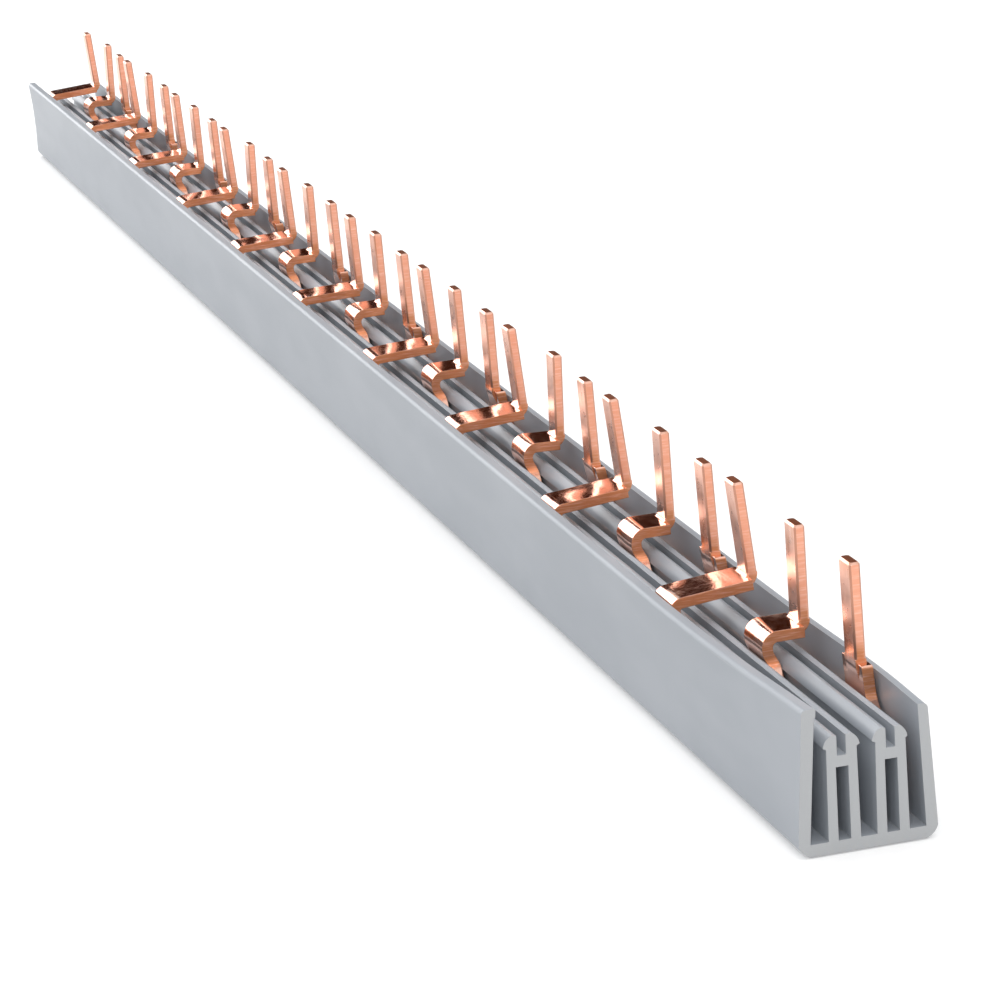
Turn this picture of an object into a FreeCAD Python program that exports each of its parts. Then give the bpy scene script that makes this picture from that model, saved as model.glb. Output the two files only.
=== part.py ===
import FreeCAD, Part
import math
import os
from FreeCAD import Vector

# Three-phase pin comb busbar, cut from a long rail. Millimetres throughout.
# X runs along the rail, the pins stand on the +Y side, Z is up from the underside.
# The origin is the middle of the base, halfway along the rail.

# Row of pins
MODULE_PITCH = 17.8         # from one pin to the next
PINS_PER_PHASE = 10
END_MARGIN = 17.0           # from the outermost pins to the rail's cut ends

# Insulating profile: a tray with three slots, one for each comb
BASE_THICKNESS = 1.6
BACK_SLOT = 2.4             # widths at the floor
MIDDLE_SLOT = 2.15
FRONT_SLOT = 2.2
DIVIDER_WIDTH = 4.25        # at the base
DIVIDER_DRAFT = 0.15        # each side, from the base to the barbs
WALL_FOOT = 1.55
FRONT_WALL_TOP = 1.3        # thickness of the wall beside the pins
BACK_WALL_TOP = 1.65        # thickness of the taller wall behind
FRONT_WALL_HEIGHT = 17.5
BACK_WALL_HEIGHT = 19.0
BACK_WALL_LEAN = 4.0        # degrees inward, where no comb pushes the wall
WALL_TOP_ROUND = 0.65
CORNER_RADIUS = 1.55        # long lower edges
CORNER_BULGE = 0.62         # they are rounded flatter than a true quarter
LIP_HEIGHT = 1.3            # bead along the back wall's inner top edge
LIP_DEPTH = 0.2

# The front comb's outermost tab bulges its wall: distance from that pin, push at the top
FRONT_WALL_BULGE = ((17.0, 0.1), (8.5, 0.42), (0.0, 0.57), (-8.5, 0.42), (-20.0, 0.1),
                    (-34.0, 0.0))

# Hollow dividers: a closed cell below, a groove between two hooked prongs above
DIVIDER_WALL = 1.15
DIVIDER_HEIGHT = 15.3
CELL_TOP = 11.1
WEB_THICKNESS = 1.45
GROOVE_WIDTH = 1.2
PRONG_LAND = 0.55           # from the groove to the prong's highest line
PRONG_SLOPE = 0.2           # drop of that land towards the groove
BARB_UNDERSIDE = 13.45
BARB_DROOP = 0.25           # the barb's lower lip rises this much to its tip
BARB_REACH = 0.42           # into the back and middle slots
FRONT_BARB_REACH = 0.25
PRONG_BULGE = 0.64          # fullness of the prongs' rounded flanks

# Copper combs, each stamped from one sheet and bent
SHEET = 1.5
FLOOR_GAP = 0.05
BARB_GAP = 1.0              # between a strip and the barbs that hold it down
SLIDE_GAP = 0.03            # between a tab and what it squeezes past
STRIP_OVERHANG = 8.0        # from a comb's first and last pins to its strip's ends
TAB_WIDTH = 6.8
TAB_FILLET = 3.0            # where a tab's sides run out into the strip
SHOULDER_ROUND = 0.3

# Pins
PIN_ROW_Y = 5.0             # where the stamped pins line up, before any tab leans
PIN_WIDTH = 3.8
PIN_LENGTH = 13.2           # above the arm or shoulder
PIN_CHAMFER = 0.25          # long edges
TIP_SIDE_TAPER = 0.2
TIP_FACE_TAPER = 0.2
TIP_HEIGHT = 0.3
ROOT_RADIUS = 0.45          # inside the bend from arm to pin
SHOULDER_SETBACK = 1.3      # the arm's square ends stop short of the pin's outer face

# Form of each phase's tabs above the barbs
HINGE_RISE = 0.35           # from the barbs to where the tabs start to lean
JOG_RISE = 1.75
JOG_BEND = 1.0
FRONT_SHOULDER = 18.5
MIDDLE_ARM_TOP = 18.8
MIDDLE_JOG = 0.85           # towards the back wall, just above the barbs
MIDDLE_TAB_LEAN = 4.0
MIDDLE_BEND = 0.7
REAR_SPLAY = 10.0           # degrees between the rear tabs and square to their arms
REAR_BEND = 0.35

# How handling has left each tab, from the +X end. Leans are degrees towards the back wall.
# Front tabs: lean of the tab, Y of its pin's foot, lean of the pin
FRONT_TABS = ((5.0, 5.72, 1.4), (9.5, 5.42, 2.4), (12.0, 5.24, 2.0), (11.0, 5.1, 1.3),
              (9.5, 5.2, 2.2), (7.5, 5.45, 2.0), (10.0, 5.3, 1.6), (8.5, 5.4, 2.3),
              (6.5, 5.5, 1.8), (9.0, 5.35, 2.1))
# Middle tabs: lean
MIDDLE_TABS = (0.5, 0.8, -1.4, 1.9, 1.6, 0.8, -0.6, 1.2, 0.3, -0.9)
# Rear tabs: lean, height of the arm's upper face
REAR_TABS = ((6.0, 19.33), (6.0, 18.83), (5.1, 18.65), (4.0, 18.6), (2.6, 18.45),
             (3.6, 18.55), (4.4, 18.6), (3.2, 18.5), (4.8, 18.65), (5.0, 18.6))

# The rear tabs push the back wall out, and it springs back towards its free end
WALL_FLEX_LENGTH = 49.0
FLEX_SECTIONS = 5

# What follows from the sizes above
SAME_POINT = 0.0001
PHASES = 3
PIN_COUNT = PHASES * PINS_PER_PHASE
RAIL_LENGTH = (PIN_COUNT - 1) * MODULE_PITCH + 2 * END_MARGIN
RAIL_END = RAIL_LENGTH / 2
FIRST_PIN = RAIL_END - END_MARGIN
WALL_INNER_FOOT = (BACK_SLOT + MIDDLE_SLOT + FRONT_SLOT) / 2 + DIVIDER_WIDTH
BACK_DIVIDER_Y = -WALL_INNER_FOOT + BACK_SLOT + DIVIDER_WIDTH / 2
FRONT_DIVIDER_Y = WALL_INNER_FOOT - FRONT_SLOT - DIVIDER_WIDTH / 2
MIDDLE_STRIP_Y = (BACK_DIVIDER_Y + FRONT_DIVIDER_Y) / 2
DIVIDER_HALF_TOP = DIVIDER_WIDTH / 2 - DIVIDER_DRAFT
BASE_HALF = WALL_INNER_FOOT + WALL_FOOT
HALF_SHEET = SHEET / 2
STRIP_BOTTOM = BASE_THICKNESS + FLOOR_GAP
STRIP_TOP = BARB_UNDERSIDE - BARB_GAP
BARB_TIP = BARB_UNDERSIDE + BARB_DROOP
TAB_HINGE = BARB_TIP + HINGE_RISE
NECK_TO_SHEET = DIVIDER_HALF_TOP + SLIDE_GAP + HALF_SHEET
FRONT_STRIP_Y = FRONT_DIVIDER_Y + NECK_TO_SHEET + FRONT_BARB_REACH
BACK_STRIP_Y = BACK_DIVIDER_Y - NECK_TO_SHEET - BARB_REACH
FRONT_WALL_AT_BARB = FRONT_STRIP_Y + HALF_SHEET + SLIDE_GAP
HALF_TAB = TAB_WIDTH / 2
ROOT_SETBACK = ROOT_RADIUS + HALF_SHEET


def yz(y, z):
    return Vector(0, y, z)


def xz(x, z):
    return Vector(x, 0, z)


def outline(plane, steps):
    """Closed wire. A step of two numbers is a straight run's end, of four an arc's middle and end."""
    edges = []
    start = plane(*steps[0])
    for step in list(steps[1:]) + [steps[0]]:
        end = plane(*step[-2:])
        middle = plane(*step[:2])
        if len(step) == 4 and middle.distanceToLine(start, end - start) > SAME_POINT:
            edges.append(Part.Arc(start, middle, end).toShape())
        elif start.distanceToPoint(end) > SAME_POINT:
            edges.append(Part.makeLine(start, end))
        start = end
    return Part.Wire(edges)


def along_x(wire, start, end):
    solid = Part.Face(wire).extrude(Vector(end - start, 0, 0))
    solid.translate(Vector(start, 0, 0))
    return solid


def quarter(u0, v0, u1, v1, corner_u, corner_v, bulge=math.sqrt(0.5)):
    """Arc step that rounds off a square corner on the way to (u1, v1)."""
    centre_u = u0 + u1 - corner_u
    centre_v = v0 + v1 - corner_v
    middle_u = centre_u + (corner_u - centre_u) * bulge
    middle_v = centre_v + (corner_v - centre_v) * bulge
    return (middle_u, middle_v, u1, v1)


def divider_steps(y, back_barb, front_barb):
    """Divider centred on y, from its front foot over both prongs to its back foot."""

    def turned(side, barb):
        neck = y + side * DIVIDER_HALF_TOP
        tip = neck + side * barb
        groove = y + side * GROOVE_WIDTH / 2
        return neck, tip, groove + side * PRONG_LAND, groove

    neck, tip, crest, groove = turned(1, front_barb)
    web_top = CELL_TOP + WEB_THICKNESS
    groove_edge = DIVIDER_HEIGHT - PRONG_SLOPE
    steps = [
        (y + DIVIDER_WIDTH / 2, BASE_THICKNESS),
        (neck, BARB_UNDERSIDE),
        (tip, BARB_TIP),
        quarter(tip, BARB_TIP, crest, DIVIDER_HEIGHT, tip, DIVIDER_HEIGHT, PRONG_BULGE),
        (groove, groove_edge),
        (groove, web_top),
    ]
    neck, tip, crest, groove = turned(-1, back_barb)
    return steps + [
        (groove, web_top),
        (groove, groove_edge),
        (crest, DIVIDER_HEIGHT),
        quarter(crest, DIVIDER_HEIGHT, tip, BARB_TIP, tip, DIVIDER_HEIGHT, PRONG_BULGE),
        (neck, BARB_UNDERSIDE),
        (y - DIVIDER_WIDTH / 2, BASE_THICKNESS),
    ]


def tray():
    """Base and dividers: everything of the profile that stays straight."""
    low_corner = BASE_HALF - CORNER_RADIUS
    steps = [
        (-BASE_HALF, BASE_THICKNESS),
        (-BASE_HALF, CORNER_RADIUS),
        quarter(-BASE_HALF, CORNER_RADIUS, -low_corner, 0, -BASE_HALF, 0, CORNER_BULGE),
        (low_corner, 0),
        quarter(low_corner, 0, BASE_HALF, CORNER_RADIUS, BASE_HALF, 0, CORNER_BULGE),
        (BASE_HALF, BASE_THICKNESS),
    ]
    steps.append((WALL_INNER_FOOT, BASE_THICKNESS))
    steps += divider_steps(FRONT_DIVIDER_Y, BARB_REACH, FRONT_BARB_REACH)
    steps += divider_steps(BACK_DIVIDER_Y, BARB_REACH, BARB_REACH)
    steps.append((-WALL_INNER_FOOT, BASE_THICKNESS))
    solid = along_x(outline(yz, steps), -RAIL_END, RAIL_END)
    for y in (BACK_DIVIDER_Y, FRONT_DIVIDER_Y):
        near = y - DIVIDER_HALF_TOP + DIVIDER_WALL
        far = y + DIVIDER_HALF_TOP - DIVIDER_WALL
        cell = [(near, BASE_THICKNESS), (far, BASE_THICKNESS), (far, CELL_TOP), (near, CELL_TOP)]
        solid = solid.cut(along_x(outline(yz, cell), -RAIL_END, RAIL_END))
    return solid


def cantilever(z, top):
    """Share of a wall top's push that reaches a height."""
    rise = (z - BASE_THICKNESS) / (top - BASE_THICKNESS)
    return rise * rise * (3 - rise) / 2


def front_wall_wire(push, x):
    """Section of the wall beside the pins with its top pushed outwards by a length."""
    slope = (WALL_INNER_FOOT - FRONT_WALL_AT_BARB) / (BARB_TIP - BASE_THICKNESS)
    height = FRONT_WALL_HEIGHT - BASE_THICKNESS

    def inner(z):
        pushed = push * cantilever(z, FRONT_WALL_HEIGHT)
        return WALL_INNER_FOOT - slope * (z - BASE_THICKNESS) + pushed

    def outer(z):
        share = (z - BASE_THICKNESS) / height
        return inner(z) + WALL_FOOT + (FRONT_WALL_TOP - WALL_FOOT) * share

    middle = BASE_THICKNESS + height / 2
    round_start = FRONT_WALL_HEIGHT - WALL_TOP_ROUND
    round_end = outer(FRONT_WALL_HEIGHT) - WALL_TOP_ROUND
    steps = [
        (BASE_HALF, BASE_THICKNESS),
        (outer(middle), middle, outer(round_start), round_start),
        quarter(outer(round_start), round_start, round_end, FRONT_WALL_HEIGHT,
                outer(round_start), FRONT_WALL_HEIGHT),
        (inner(FRONT_WALL_HEIGHT), FRONT_WALL_HEIGHT),
        (inner(middle), middle, WALL_INNER_FOOT, BASE_THICKNESS),
    ]
    wire = outline(yz, steps)
    wire.translate(Vector(x, 0, 0))
    return wire


def front_wall():
    """Bulged by the front comb's outermost tab, and straight beyond it."""
    wires = [front_wall_wire(push, FIRST_PIN + x) for x, push in FRONT_WALL_BULGE]
    straight = along_x(front_wall_wire(0, 0), -RAIL_END, FIRST_PIN + FRONT_WALL_BULGE[-1][0])
    return straight.fuse(Part.makeLoft(wires, True, False))


def wall_inner(z, push):
    lean = math.tan(math.radians(BACK_WALL_LEAN))
    pushed = push * cantilever(z, BACK_WALL_HEIGHT)
    return -WALL_INNER_FOOT + lean * (z - BASE_THICKNESS) - pushed


def back_wall_wire(push, x):
    """Section of the back wall with its top pushed out of its natural lean by a length."""
    height = BACK_WALL_HEIGHT - BASE_THICKNESS

    def inner(z):
        return wall_inner(z, push)

    def outer(z):
        share = (z - BASE_THICKNESS) / height
        return inner(z) - WALL_FOOT + (WALL_FOOT - BACK_WALL_TOP) * share

    middle = BASE_THICKNESS + height / 2
    lip_top = BACK_WALL_HEIGHT - LIP_DEPTH
    lip_bottom = BACK_WALL_HEIGHT - LIP_HEIGHT
    round_start = BACK_WALL_HEIGHT - WALL_TOP_ROUND
    round_end = outer(BACK_WALL_HEIGHT) + WALL_TOP_ROUND
    steps = [
        (-WALL_INNER_FOOT, BASE_THICKNESS),
        (inner(middle), middle, inner(lip_bottom), lip_bottom),
        (inner(lip_bottom) + LIP_DEPTH, lip_bottom + LIP_DEPTH),
        (inner(lip_top) + LIP_DEPTH, lip_top),
        (inner(BACK_WALL_HEIGHT), BACK_WALL_HEIGHT),
        (round_end, BACK_WALL_HEIGHT),
        quarter(round_end, BACK_WALL_HEIGHT, outer(round_start), round_start,
                outer(round_start), BACK_WALL_HEIGHT),
        (outer(middle), middle, -BASE_HALF, BASE_THICKNESS),
    ]
    wire = outline(yz, steps)
    wire.translate(Vector(x, 0, 0))
    return wire


def back_wall(push):
    """Straight along the combs' run, and eased back to its natural lean at the +X end."""
    bend_start = RAIL_END - WALL_FLEX_LENGTH
    straight = along_x(back_wall_wire(push, 0), -RAIL_END, bend_start)
    wires = []
    for i in range(FLEX_SECTIONS):
        share = i / (FLEX_SECTIONS - 1)
        eased = push * math.cos(share * math.pi / 2)
        wires.append(back_wall_wire(eased, bend_start + share * WALL_FLEX_LENGTH))
    return straight.fuse(Part.makeLoft(wires, True, False))


def one_side(points, inner_radii):
    """Steps along the left of a bent sheet's middle line, HALF_SHEET away from it."""
    steps = []
    for i, point in enumerate(points):
        before = (point - points[i - 1]).normalize() if i > 0 else None
        after = (points[i + 1] - point).normalize() if i + 1 < len(points) else None
        if before is None or after is None:
            along = after or before
            side = point + Vector(0, -along.z, along.y) * HALF_SHEET
            steps.append((side.y, side.z))
            continue
        turn = math.atan2(before.y * after.z - before.z * after.y, before.dot(after))
        radius = inner_radii[i - 1] + HALF_SHEET
        reach = radius * math.tan(abs(turn) / 2)
        hollow = (after - before).normalize()
        centre = point + hollow * (radius / math.cos(turn / 2))
        side_radius = radius - math.copysign(HALF_SHEET, turn)
        start = point - before * reach + Vector(0, -before.z, before.y) * HALF_SHEET
        end = point + after * reach + Vector(0, -after.z, after.y) * HALF_SHEET
        middle = centre - hollow * side_radius
        steps.append((start.y, start.z))
        steps.append((middle.y, middle.z, end.y, end.z))
    return steps


def bent_sheet(points, inner_radii, start, end):
    """Sheet bent along a middle line in the YZ plane, from one X to another."""
    there = one_side(points, inner_radii)
    back = one_side(points[::-1], inner_radii[::-1])
    return along_x(outline(yz, there + back), start, end)


def blank(top):
    """What the die leaves of the sheet: strip, filleted tab, square top at a height."""
    fillet_end = HALF_TAB + TAB_FILLET
    tab_start = STRIP_TOP + TAB_FILLET
    shoulder = top - SHOULDER_ROUND
    steps = [
        (-fillet_end, STRIP_BOTTOM),
        (fillet_end, STRIP_BOTTOM),
        (fillet_end, STRIP_TOP),
        quarter(fillet_end, STRIP_TOP, HALF_TAB, tab_start, HALF_TAB, STRIP_TOP),
        (HALF_TAB, shoulder),
        quarter(HALF_TAB, shoulder, HALF_TAB - SHOULDER_ROUND, top, HALF_TAB, top),
        (-HALF_TAB + SHOULDER_ROUND, top),
        quarter(-HALF_TAB + SHOULDER_ROUND, top, -HALF_TAB, shoulder, -HALF_TAB, top),
        (-HALF_TAB, tab_start),
        quarter(-HALF_TAB, tab_start, -fillet_end, STRIP_TOP, -HALF_TAB, STRIP_TOP),
    ]
    prism = Part.Face(outline(xz, steps)).extrude(Vector(0, 2 * BASE_HALF, 0))
    prism.translate(Vector(0, -BASE_HALF, 0))
    return prism


def pin_bar(root, degrees):
    """Pin with chamfered long edges and a tapered tip, standing on root and leaning."""

    def ring(z, side_taper, face_taper):
        x = PIN_WIDTH / 2 - side_taper
        y = HALF_SHEET - face_taper
        cut = min(PIN_CHAMFER, y)
        corners = [(x, y - cut), (x - cut, y), (cut - x, y), (-x, y - cut),
                   (-x, cut - y), (cut - x, -y), (x - cut, -y), (x, cut - y)]
        return Part.makePolygon([Vector(cx, cy, z) for cx, cy in corners + corners[:1]])

    length = PIN_LENGTH - ROOT_RADIUS
    rings = [ring(0, 0, 0), ring(length - TIP_HEIGHT, 0, 0),
             ring(length, TIP_SIDE_TAPER, TIP_FACE_TAPER)]
    bar = leaned(Part.makeLoft(rings, True, True), Vector(), degrees)
    bar.translate(root)
    return bar


def leaned(shape, hinge, degrees):
    shape.rotate(hinge, Vector(1, 0, 0), degrees)
    return shape


def swung(points, hinge, degrees):
    turn = FreeCAD.Rotation(Vector(1, 0, 0), degrees)
    return [hinge + turn.multVec(point - hinge) for point in points]


def along_lean(start, degrees, z):
    """Point at a height on the line that leans from start by degrees towards the back wall."""
    return yz(start.y - math.tan(math.radians(degrees)) * (z - start.z), z)


def straight_tab(lean, foot_y, pin_lean):
    """Front phase: the tab stays flat, and a jog brings its pin into the row."""
    y = FRONT_STRIP_Y
    hinge = yz(y, TAB_HINGE)
    top = along_lean(hinge, lean, FRONT_SHOULDER + JOG_RISE)
    sheet = bent_sheet([yz(y, STRIP_BOTTOM), hinge, top], [JOG_BEND],
                       -HALF_TAB - TAB_FILLET, HALF_TAB + TAB_FILLET)
    tab = sheet.common(blank(FRONT_SHOULDER))
    foot = yz(foot_y, FRONT_SHOULDER - ROOT_RADIUS)
    pin_start = along_lean(foot, pin_lean, FRONT_SHOULDER + ROOT_RADIUS)
    jog = [along_lean(hinge, lean, foot.z - 2 * JOG_RISE),
           along_lean(hinge, lean, foot.z - JOG_RISE), foot, pin_start]
    root = bent_sheet(jog, [JOG_BEND, JOG_BEND], -PIN_WIDTH / 2, PIN_WIDTH / 2)
    return tab.fuse([root, pin_bar(pin_start, pin_lean)])


def armed_tab(y, arm_top, bends, corners, lean):
    """Middle and rear phases: the tab bends over into an arm, with a pin at its end."""
    hinge = yz(y, TAB_HINGE)
    arm = arm_top - HALF_SHEET
    arm_end = PIN_ROW_Y + HALF_SHEET - SHOULDER_SETBACK
    line = [hinge] + [yz(*corner) for corner in corners] + [yz(arm_end, arm)]
    sheet = bent_sheet([yz(y, STRIP_BOTTOM)] + swung(line, hinge, lean), bends,
                       -HALF_TAB - TAB_FILLET, HALF_TAB + TAB_FILLET)
    tab = sheet.common(blank(arm_top + BASE_HALF))
    notch = Part.makeBox(PIN_WIDTH, SHEET * 2, SHEET * 2,
                         Vector(-PIN_WIDTH / 2, PIN_ROW_Y - ROOT_SETBACK, arm - SHEET))
    root_line = swung([yz(PIN_ROW_Y - 2 * ROOT_SETBACK, arm), yz(PIN_ROW_Y, arm),
                       yz(PIN_ROW_Y, arm + ROOT_SETBACK)], hinge, lean)
    root = bent_sheet(root_line, [ROOT_RADIUS], -PIN_WIDTH / 2, PIN_WIDTH / 2)
    return tab.cut(leaned(notch, hinge, lean)).fuse([root, pin_bar(root_line[-1], lean)])


def middle_tab(lean):
    y = MIDDLE_STRIP_Y
    arm = MIDDLE_ARM_TOP - HALF_SHEET
    jog_top = TAB_HINGE + JOG_RISE
    outset = (arm - jog_top) * math.tan(math.radians(MIDDLE_TAB_LEAN))
    corners = [(y - MIDDLE_JOG, jog_top), (y - MIDDLE_JOG - outset, arm)]
    return armed_tab(y, MIDDLE_ARM_TOP, [JOG_BEND, JOG_BEND, MIDDLE_BEND], corners, lean)


def rear_tab(lean, arm_top):
    y = BACK_STRIP_Y
    arm = arm_top - HALF_SHEET
    outset = (arm - TAB_HINGE) * math.tan(math.radians(REAR_SPLAY))
    return armed_tab(y, arm_top, [JOG_BEND, REAR_BEND], [(y - outset, arm)], lean)


def comb(y, tabs, phase):
    """One strip and its tabs, which stand PHASES modules apart along the rail."""
    first = FIRST_PIN - phase * MODULE_PITCH
    last = first - (PINS_PER_PHASE - 1) * PHASES * MODULE_PITCH
    strip = bent_sheet([yz(y, STRIP_BOTTOM), yz(y, STRIP_TOP)], [],
                       last - STRIP_OVERHANG, first + STRIP_OVERHANG)
    for i, tab in enumerate(tabs):
        tab.translate(Vector(first - i * PHASES * MODULE_PITCH, 0, 0))
    return strip.fuse(tabs).removeSplitter()


def rear_push(comb_shape):
    """How far the rear tabs hold the back wall's top out of its natural place."""
    level = BACK_WALL_HEIGHT - LIP_HEIGHT + LIP_DEPTH
    natural = wall_inner(level, 0) + LIP_DEPTH
    reach = natural + SLIDE_GAP - comb_shape.BoundBox.YMin
    return reach / cantilever(level, BACK_WALL_HEIGHT)


os.makedirs("parts", exist_ok=True)
rear_comb = comb(BACK_STRIP_Y, [rear_tab(*tab) for tab in REAR_TABS], 2)
walls = [front_wall(), back_wall(rear_push(rear_comb))]
nodes = {
    "insulating_profile": tray().fuse(walls).removeSplitter(),
    "front_phase_comb": comb(FRONT_STRIP_Y, [straight_tab(*tab) for tab in FRONT_TABS], 0),
    "middle_phase_comb": comb(MIDDLE_STRIP_Y, [middle_tab(lean) for lean in MIDDLE_TABS], 1),
    "rear_phase_comb": rear_comb,
}
for name, shape in nodes.items():
    print(name, len(shape.Solids), shape.isValid(), round(shape.Volume))
    shape.Solids[0].exportStep(f"parts/{name}.step")
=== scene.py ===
import math

import bpy
from bpy.props import FloatProperty, FloatVectorProperty, PointerProperty
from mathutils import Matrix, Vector

bl_info = {
    "name": "Comb busbar",
    "version": (1, 0, 0),
    "blender": (4, 5, 0),
    "location": "3D View > Sidebar > Busbar",
    "description": "Finishes and studio for a three-phase pin comb busbar",
    "category": "Object",
}

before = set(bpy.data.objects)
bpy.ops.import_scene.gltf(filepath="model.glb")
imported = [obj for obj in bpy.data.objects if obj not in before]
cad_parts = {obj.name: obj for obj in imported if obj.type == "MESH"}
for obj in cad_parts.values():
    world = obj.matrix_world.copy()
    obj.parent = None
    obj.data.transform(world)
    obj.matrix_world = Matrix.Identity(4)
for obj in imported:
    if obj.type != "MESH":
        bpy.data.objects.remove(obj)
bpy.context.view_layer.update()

COMBS = ("front_phase_comb", "middle_phase_comb", "rear_phase_comb")
PROFILE = "insulating_profile"
X, Y, Z = range(3)

# Where the copper's look changes, in metres: heights of the pins, and places across the arms.
PIN_FOOT = (0.0198, 0.0215)
PIN_TIP = (0.0308, 0.0312)
ARM_SWEEP = (0.0005, 0.0045)

# How strongly the coined corners take the dark pressed colour, a painted reflection, and how
# shiny the plastic is.
CORNER_PAINTED_DARK = 0.6
PLASTIC_SPECULAR = 0.16

# The lamps, in metres, and how the dark card is tilted and turned.
RAIL_MIDDLE = (0.0, 0.0, 0.0)
RAIL_NEAR_END = (0.27, 0.0, 0.0)
OVERHEAD = {"size": 2.4, "place": (0.1, 0.1, 1.5), "target": RAIL_MIDDLE}
SIDE = {"size": 1.0, "place": (-1.15, -0.5, 0.45), "target": RAIL_MIDDLE}
FRONT = {"size": 0.4, "place": (1.0, -0.22, 0.32), "target": RAIL_NEAR_END}
CARD_TURN = (0.0, math.radians(90.0), math.radians(-17.0))

# The floor lies a little under the rail, and its glow rises between two distances from it.
FLOOR_SIZE = 8.0
FLOOR_GAP = 0.0002
GLOW_DISTANCES = (0.4, 2.2)
GLOW_STRENGTHS = (0.35, 0.8)

# The camera's sensor in millimetres, and the nearest distance that it shows, in metres.
SENSOR_WIDTH = 36.0
CLIP_START = 0.01


class Shading:
    """The node tree of a material or world, built a node at a time."""

    def __init__(self, owner):
        if isinstance(owner, str):
            owner = bpy.data.materials.new(owner)
        owner.use_nodes = True
        self.material = owner
        self.tree = owner.node_tree
        self.tree.nodes.clear()
        self.column = 0

    def add(self, kind, inputs=None, output=0, **settings):
        """Add a node, link or set its inputs by name, and return one of its outputs."""
        node = self.tree.nodes.new(kind)
        node.location = (self.column * 60, -self.column % 5 * 120)
        self.column += 1
        for name, value in settings.items():
            setattr(node, name, value)
        for name, value in (inputs or {}).items():
            if isinstance(value, bpy.types.NodeSocket):
                self.tree.links.new(value, node.inputs[name])
            else:
                node.inputs[name].default_value = value
        return node.outputs[output]

    def scaled(self, coords, scale):
        """Object coordinates stretched to so many pattern steps a metre along each axis."""
        return self.add("ShaderNodeMapping", {"Vector": coords, "Scale": scale})

    def noise(self, coords, scale, detail, roughness=0.5):
        inputs = {"Vector": self.scaled(coords, scale), "Scale": 1.0, "Detail": detail,
                  "Roughness": roughness}
        return self.add("ShaderNodeTexNoise", inputs)

    def ramp(self, factor, low, high, start=0.0, end=1.0):
        """A value that goes smoothly from start to end while the factor goes from low to high."""
        inputs = {"Value": factor, "From Min": low, "From Max": high, "To Min": start,
                  "To Max": end}
        return self.add("ShaderNodeMapRange", inputs, interpolation_type="SMOOTHSTEP")

    def blend(self, factor, first, second):
        inputs = {"Factor": factor, "A": first, "B": second}
        return self.add("ShaderNodeMix", inputs, output=2, data_type="RGBA")

    def math(self, operation, first, second=0.0):
        return self.add("ShaderNodeMath", {0: first, 1: second}, operation=operation)

    def bump(self, height, distance, normal, strength=1.0):
        inputs = {"Height": height, "Distance": distance, "Strength": strength, "Normal": normal}
        return self.add("ShaderNodeBump", inputs)

    def object_place(self):
        return self.add("ShaderNodeTexCoord", output="Object")

    def flat_normal(self):
        return self.add("ShaderNodeNewGeometry", output="True Normal")

    def facing(self, axis):
        """How far the surface faces along one axis, whichever way: nought to one."""
        normal = self.flat_normal()
        return self.math("ABSOLUTE", self.add("ShaderNodeSeparateXYZ", {"Vector": normal}, axis))

    def end_faces(self):
        """One where the surface faces along the rail, nought elsewhere."""
        return self.ramp(self.facing(X), 0.8, 0.95)

    def beyond(self, coords, axis, low, high):
        """Nought before one place along an axis, one past the other."""
        return self.ramp(self.add("ShaderNodeSeparateXYZ", {"Vector": coords}, axis), low, high)

    def rounded(self, radius):
        """Normals that catch the light along the edges."""
        return self.add("ShaderNodeBevel", {"Radius": radius}, samples=4)

    def edges(self, rounded):
        """One along the edges that the rounded normals soften, nought on flat faces."""
        inputs = {0: rounded, 1: self.flat_normal()}
        alike = self.add("ShaderNodeVectorMath", inputs, "Value", operation="DOT_PRODUCT")
        return self.ramp(alike, 0.99, 0.9)

    def mix(self, factor, first, second):
        return self.add("ShaderNodeMix", {"Factor": factor, "A": first, "B": second})

    def seen(self):
        """One for what the camera sees, straight or in metal or glass, nought for the light."""
        rays = self.tree.nodes.new("ShaderNodeLightPath").outputs
        mirrored = self.math("MAXIMUM", rays["Is Glossy Ray"], rays["Is Transmission Ray"])
        return self.math("MAXIMUM", rays["Is Camera Ray"], mirrored)

    def finish(self, inputs):
        surface = self.add("ShaderNodeBsdfPrincipled", inputs)
        self.add_output(surface)
        return self.material

    def add_output(self, surface, kind="ShaderNodeOutputMaterial"):
        node = self.tree.nodes.new(kind)
        self.tree.links.new(surface, node.inputs["Surface"])


def rgba(colour):
    """A colour with full opacity, as the sockets take it."""
    return (colour[0], colour[1], colour[2], 1.0)


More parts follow.
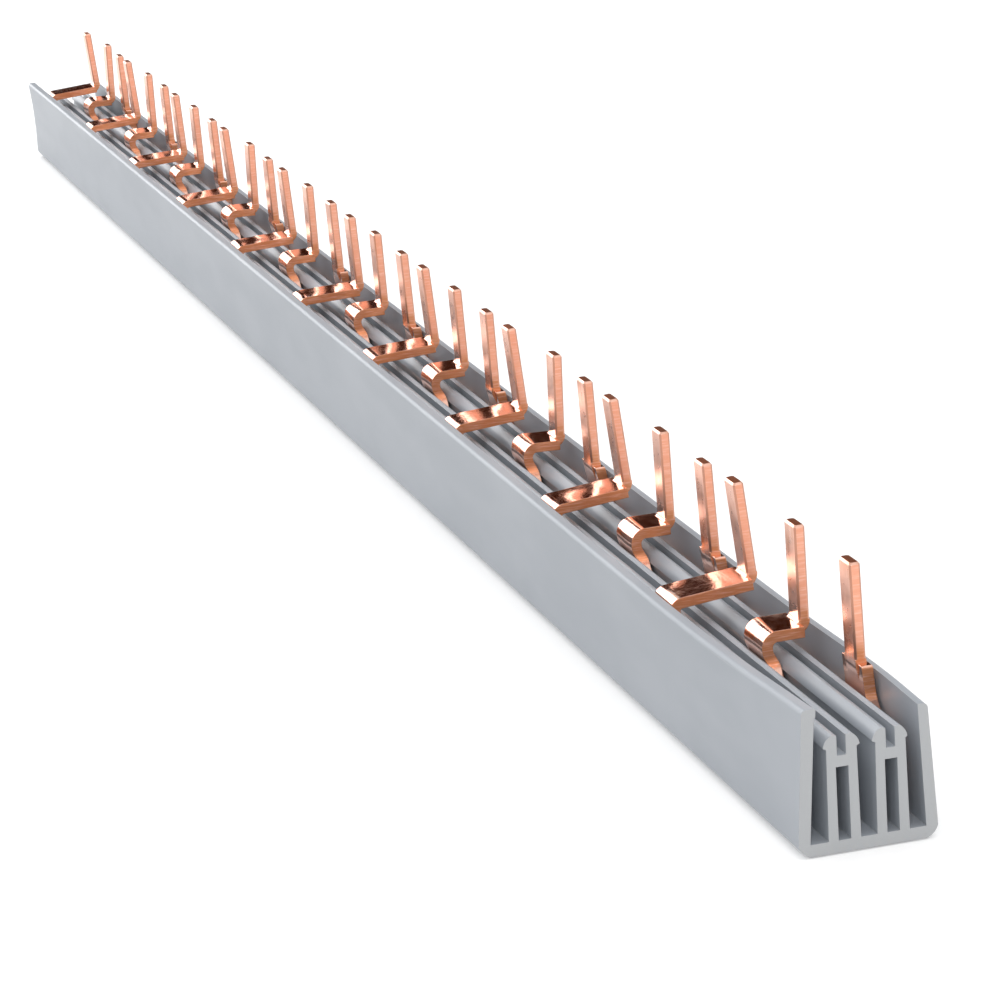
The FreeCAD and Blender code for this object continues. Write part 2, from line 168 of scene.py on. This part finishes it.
def copper_material(settings):
    """Rolled copper with torn, darker stamped edges in painted shade below the pins, coined
    corners and tips painted dark as a painted reflection, and handling marks.
    """
    make = Shading("bare_copper")
    coords = make.object_place()
    cut = make.end_faces()
    # Flat pin tips and chamfered corners: the coining is real and makes them rougher, while their
    # dark brown colour is a painted reflection of dark surroundings.
    tips = make.math("MULTIPLY", make.beyond(coords, Z, *PIN_TIP),
                     make.ramp(make.facing(Z), 0.6, 0.9))
    corners = make.math("MULTIPLY", make.ramp(make.facing(X), 0.45, 0.6),
                        make.ramp(make.facing(Y), 0.45, 0.6))
    pressed_and_painted_reflection = make.math("MAXIMUM", tips, make.math("MULTIPLY", corners, CORNER_PAINTED_DARK))
    pins = make.beyond(coords, Z, *PIN_FOOT)
    sweep = make.beyond(coords, Y, *ARM_SWEEP)
    clouds = make.noise(coords, (160, 160, 160), detail=4.0, roughness=0.6)
    streaks = make.noise(coords, (900, 900, 120), detail=4.0, roughness=0.65)
    spots = make.noise(coords, (900, 900, 900), detail=2.0)
    scratches = make.noise(coords, (2500, 2500, 160), detail=2.0)
    shear = make.noise(coords, (300, 300, 4200), detail=3.0, roughness=0.6)
    dents = make.noise(coords, (120, 120, 90), detail=0.0)

    dulled = make.ramp(make.math("MULTIPLY", clouds, streaks), 0.24, 0.42)
    rolled = make.blend(dulled, rgba(settings.rolled), rgba(settings.tarnish))
    # Painted shade: stamped edges below the pin feet, down by the channel, take a darker colour
    # than those of the pins.
    torn_edge_painted_shade = make.blend(pins, rgba(settings.sheared_low_painted_shade), rgba(settings.sheared))
    sheared = make.blend(make.ramp(shear, 0.4, 0.9), torn_edge_painted_shade, rgba(settings.rolled))
    faces = make.blend(cut, rolled, sheared)
    colour = make.blend(pressed_and_painted_reflection, faces, rgba(settings.pressed_and_painted_reflection))
    polish = make.mix(pins, settings.roughness, settings.pin_roughness)
    gloss = make.math("ADD", polish, make.ramp(spots, 0.3, 0.7, end=0.06))
    rough = make.mix(make.math("MAXIMUM", cut, pressed_and_painted_reflection), gloss, settings.sheared_roughness)
    swept = make.bump(sweep, settings.sweep_depth, make.rounded(settings.edge_radius))
    worn = make.bump(dents, settings.dent_depth, swept)
    lined = make.bump(scratches, settings.scratch_depth, worn, strength=0.6)
    torn = make.bump(make.math("MULTIPLY", shear, cut), settings.shear_depth, lined)
    return make.finish({
        "Base Color": colour,
        "Metallic": 1.0,
        "Roughness": rough,
        "Normal": torn,
    })


def profile_material(settings):
    """Grey plastic with a smooth skin, edges painted pale as a painted highlight, and grainy sawn
    ends.
    """
    make = Shading("grey_extruded_plastic")
    coords = make.object_place()
    cut = make.end_faces()
    sheen = make.noise(coords, (9, 160, 160), detail=1.0)
    grain = make.noise(coords, (3500, 3500, 3500), detail=2.0)
    tone = make.noise(coords, (30, 90, 90), detail=3.0)

    rounded = make.rounded(settings.edge_radius)
    skin = make.blend(make.ramp(tone, 0.35, 0.65), rgba(settings.skin), rgba(settings.skin_pale))
    faces = make.blend(cut, skin, rgba(settings.cut))
    # Painted highlight: the thin edges are painted pale, as though they caught the light.
    colour = make.blend(make.edges(rounded), faces, rgba(settings.edge))
    gloss = make.ramp(sheen, 0.3, 0.7, settings.roughness, settings.roughness + 0.04)
    rough = make.mix(cut, gloss, settings.cut_roughness)
    sawn = make.bump(make.math("MULTIPLY", grain, cut), settings.grain_depth, rounded)
    return make.finish({
        "Base Color": colour,
        "Roughness": rough,
        "Specular IOR Level": PLASTIC_SPECULAR,
        "Normal": sawn,
    })


def dress(node, material):
    """Give a node of the frame one material and no other."""
    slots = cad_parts[node].data.materials
    slots.clear()
    slots.append(material)


class BusbarCopper(bpy.types.PropertyGroup):
    rolled: FloatVectorProperty(
        name="Rolled faces", description="Colour of the sheet's rolled faces",
        subtype="COLOR", default=(0.92, 0.56, 0.44), min=0, max=1)
    tarnish: FloatVectorProperty(
        name="Tarnish", description="Colour where the sheet has dulled",
        subtype="COLOR", default=(0.76, 0.39, 0.25), min=0, max=1)
    sheared: FloatVectorProperty(
        name="Sheared edges", description="Colour of the stamped edges",
        subtype="COLOR", default=(0.80, 0.37, 0.245), min=0, max=1)
    # Painted shade: the darker colour given to the stamped edges below the pins.
    sheared_low_painted_shade: FloatVectorProperty(
        name="Inner sheared edges", description="Colour of the stamped edges below the pins",
        subtype="COLOR", default=(0.66, 0.27, 0.13), min=0, max=1)
    # Painted reflection: the coined tips and corners are painted dark brown for the dark
    # surroundings that they mirror.
    pressed_and_painted_reflection: FloatVectorProperty(
        name="Pressed corners", description="Colour of the pins' coined corners and tips",
        subtype="COLOR", default=(0.28, 0.075, 0.022), min=0, max=1)
    edge_radius: FloatProperty(
        name="Edge rounding", description="Width of the rounding that catches the light",
        unit="LENGTH", default=0.00018, min=0)
    roughness: FloatProperty(
        name="Roughness", description="Roughness of the rolled faces",
        subtype="FACTOR", default=0.1, min=0, max=1)
    pin_roughness: FloatProperty(
        name="Pin roughness", description="Roughness of the pins' rolled faces",
        subtype="FACTOR", default=0.27, min=0, max=1)
    sheared_roughness: FloatProperty(
        name="Edge roughness", description="Roughness of the stamped edges",
        subtype="FACTOR", default=0.42, min=0, max=1)
    dent_depth: FloatProperty(
        name="Dents", description="Depth of the handling dents",
        unit="LENGTH", default=0.0006, min=0)
    sweep_depth: FloatProperty(
        name="Sweep", description="How far the arms curve up towards their pins",
        unit="LENGTH", default=0.00025, min=0)
    scratch_depth: FloatProperty(
        name="Scratches", description="Depth of the fine scratches along the sheet",
        unit="LENGTH", default=0.000015, min=0)
    shear_depth: FloatProperty(
        name="Shear marks", description="Depth of the marks on stamped edges",
        unit="LENGTH", default=0.000012, min=0)


class BusbarPlastic(bpy.types.PropertyGroup):
    skin: FloatVectorProperty(
        name="Skin", description="Colour of the extruded surfaces",
        subtype="COLOR", default=(0.35, 0.375, 0.41), min=0, max=1)
    skin_pale: FloatVectorProperty(
        name="Pale skin", description="Colour of the paler streaks",
        subtype="COLOR", default=(0.38, 0.405, 0.44), min=0, max=1)
    cut: FloatVectorProperty(
        name="Cut end", description="Colour of the sawn ends",
        subtype="COLOR", default=(0.42, 0.43, 0.44), min=0, max=1)
    # Painted highlight: the pale colour that the thin edges are painted, as though they caught
    # the light.
    edge: FloatVectorProperty(
        name="Edges", description="Colour of the thin edges, where the plastic is rubbed pale",
        subtype="COLOR", default=(0.52, 0.53, 0.54), min=0, max=1)
    edge_radius: FloatProperty(
        name="Edge rounding", description="Width of the rounding that catches the light",
        unit="LENGTH", default=0.00012, min=0)
    roughness: FloatProperty(
        name="Roughness", description="Roughness of the extruded surfaces",
        subtype="FACTOR", default=0.34, min=0, max=1)
    cut_roughness: FloatProperty(
        name="Cut roughness", description="Roughness of the sawn ends",
        subtype="FACTOR", default=0.6, min=0, max=1)
    grain_depth: FloatProperty(
        name="Sawn grain", description="Depth of the grain on the sawn ends",
        unit="LENGTH", default=0.00002, min=0)


class BusbarStage(bpy.types.PropertyGroup):
    floor: FloatVectorProperty(
        name="Floor", description="Colour of the floor",
        subtype="COLOR", default=(0.80, 0.80, 0.80), min=0, max=1)
    sky: FloatProperty(
        name="Room light", description="Strength of the even light of the room",
        default=0.58, min=0)
    key: FloatProperty(
        name="Overhead light", description="Strength of the large lamp above",
        unit="POWER", default=17.0, min=0)
    fill: FloatProperty(
        name="Side light", description="Strength of the lamp beside the far end",
        unit="POWER", default=9.5, min=0)
    front: FloatProperty(
        name="Front light", description="Strength of the lamp behind the camera",
        unit="POWER", default=2.5, min=0)
    flag: FloatVectorProperty(
        name="Dark card", description="Place of the dark card that the copper mirrors",
        subtype="TRANSLATION", unit="LENGTH", default=(-2.57, 0.85, 0.85))
    flag_width: FloatProperty(
        name="Card width", description="Width of the dark card",
        unit="LENGTH", default=1.8, min=0)
    flag_height: FloatProperty(
        name="Card height", description="Height of the dark card",
        unit="LENGTH", default=1.2, min=0)
    flag_tone: FloatVectorProperty(
        name="Card colour", description="Colour of the dark card",
        subtype="COLOR", default=(0.05, 0.012, 0.004), min=0, max=1)
    camera: FloatVectorProperty(
        name="Camera", description="Place of the camera",
        subtype="TRANSLATION", unit="LENGTH", default=(0.678878, -0.155493, 0.167671))
    aim: FloatVectorProperty(
        name="Aim", description="Turn of the camera",
        subtype="EULER", unit="ROTATION",
        default=(math.radians(74.34927), math.radians(3.66821), math.radians(73.52914)))
    lens: FloatProperty(
        name="Lens", description="Focal length of the camera in millimetres",
        default=135.0, min=1)


class BUSBAR_OT_combs(bpy.types.Operator):
    """Give the three stamped combs their copper"""
    bl_idname = "busbar.combs"
    bl_label = "Copper combs"

    def execute(self, context):
        material = copper_material(context.scene.busbar_copper)
        for node in COMBS:
            dress(node, material)
        return {"FINISHED"}


class BUSBAR_OT_profile(bpy.types.Operator):
    """Give the insulating profile its extruded plastic"""
    bl_idname = "busbar.profile"
    bl_label = "Insulating profile"

    def execute(self, context):
        dress(PROFILE, profile_material(context.scene.busbar_plastic))
        return {"FINISHED"}


class BUSBAR_OT_stage(bpy.types.Operator):
    """Set up the floor, the lamps, the room and the camera"""
    bl_idname = "busbar.stage"
    bl_label = "Studio"

    def execute(self, context):
        settings = context.scene.busbar_stage
        make_floor(settings)
        overhead = make_lamp("overhead", settings.key, **OVERHEAD)
        overhead.visible_glossy = False
        make_lamp("side", settings.fill, **SIDE)
        make_lamp("front", settings.front, **FRONT)
        make_flag(settings)
        make_room(settings)
        make_camera(settings)
        return {"FINISHED"}


def make_floor(settings):
    """A pale floor whose glow fades it into the white of the room."""
    bpy.ops.object.select_all(action="DESELECT")
    bpy.ops.mesh.primitive_plane_add(size=FLOOR_SIZE, location=(0, 0, -FLOOR_GAP))
    floor = bpy.context.object
    floor.name = "studio_floor"
    bpy.ops.object.transform_apply(location=True, rotation=False, scale=False)
    make = Shading("studio_floor")
    matt = make.add("ShaderNodeBsdfDiffuse", {"Color": rgba(settings.floor)})
    inputs = {0: make.object_place()}
    distance = make.add("ShaderNodeVectorMath", inputs, "Value", operation="LENGTH")
    rising = make.ramp(distance, *GLOW_DISTANCES, *GLOW_STRENGTHS)
    lift = make.math("MULTIPLY", make.seen(), rising)
    glow = make.add("ShaderNodeEmission", {"Color": rgba(settings.floor), "Strength": lift})
    make.add_output(make.add("ShaderNodeAddShader", {0: matt, 1: glow}))
    floor.data.materials.append(make.material)


def make_flag(settings):
    """A dark card behind the far end that only shiny surfaces see."""
    bpy.ops.object.select_all(action="DESELECT")
    bpy.ops.mesh.primitive_plane_add(size=1.0, location=settings.flag, rotation=CARD_TURN)
    flag = bpy.context.object
    flag.name = "studio_flag"
    flag.scale = (settings.flag_height, settings.flag_width, 1.0)
    bpy.ops.object.transform_apply(location=True, rotation=True, scale=True)
    flag.visible_camera = flag.visible_diffuse = flag.visible_shadow = False
    flag.visible_transmission = False
    make = Shading("studio_flag")
    make.add_output(make.add("ShaderNodeBsdfDiffuse", {"Color": rgba(settings.flag_tone)}))
    flag.data.materials.append(make.material)


def make_lamp(name, power, size, place, target):
    """A square lamp that lights the object and stays out of the picture."""
    light = bpy.data.lights.new(name, "AREA")
    light.energy = power
    light.size = size
    lamp = bpy.data.objects.new(name, light)
    lamp.location = place
    lamp.visible_camera = False
    lamp.rotation_euler = (Vector(target) - Vector(place)).to_track_quat("-Z", "Y").to_euler()
    bpy.context.collection.objects.link(lamp)
    return lamp


def make_room(settings):
    """Even light that is white to the eye and weaker on matt surfaces."""
    world = bpy.data.worlds.new("room")
    bpy.context.scene.world = world
    make = Shading(world)
    strength = make.mix(make.seen(), settings.sky, 1.0)
    air = make.add("ShaderNodeBackground", {"Color": (1.0, 1.0, 1.0, 1.0), "Strength": strength})
    make.add_output(air, "ShaderNodeOutputWorld")


def make_camera(settings):
    """The camera, placed and turned so that the rail lies as in the photograph."""
    data = bpy.data.cameras.new("view")
    data.lens = settings.lens
    data.sensor_width = SENSOR_WIDTH
    data.clip_start = CLIP_START
    camera = bpy.data.objects.new("view", data)
    camera.location = settings.camera
    camera.rotation_euler = settings.aim
    bpy.context.collection.objects.link(camera)
    bpy.context.scene.camera = camera
    bpy.context.scene.view_settings.view_transform = "Standard"


class BUSBAR_PT_panel(bpy.types.Panel):
    """Sizes, colours and steps of the busbar"""
    bl_idname = "BUSBAR_PT_panel"
    bl_label = "Comb busbar"
    bl_space_type = "VIEW_3D"
    bl_region_type = "UI"
    bl_category = "Busbar"

    def draw(self, context):
        for group, kind, step in PARTS:
            settings = getattr(context.scene, group)
            box = self.layout.box()
            box.operator(step)
            for name in kind.__annotations__:
                box.prop(settings, name)


PARTS = (
    ("busbar_copper", BusbarCopper, "busbar.combs"),
    ("busbar_plastic", BusbarPlastic, "busbar.profile"),
    ("busbar_stage", BusbarStage, "busbar.stage"),
)
CLASSES = (BUSBAR_OT_combs, BUSBAR_OT_profile, BUSBAR_OT_stage, BUSBAR_PT_panel)


def register():
    for group, kind, _ in PARTS:
        bpy.utils.register_class(kind)
        setattr(bpy.types.Scene, group, PointerProperty(type=kind))
    for kind in CLASSES:
        bpy.utils.register_class(kind)


def unregister():
    for kind in reversed(CLASSES):
        bpy.utils.unregister_class(kind)
    for group, kind, _ in PARTS:
        delattr(bpy.types.Scene, group)
        bpy.utils.unregister_class(kind)


def main():
    register()
    bpy.ops.busbar.combs()
    bpy.ops.busbar.profile()
    bpy.ops.busbar.stage()


if __name__ == "__main__":
    main()
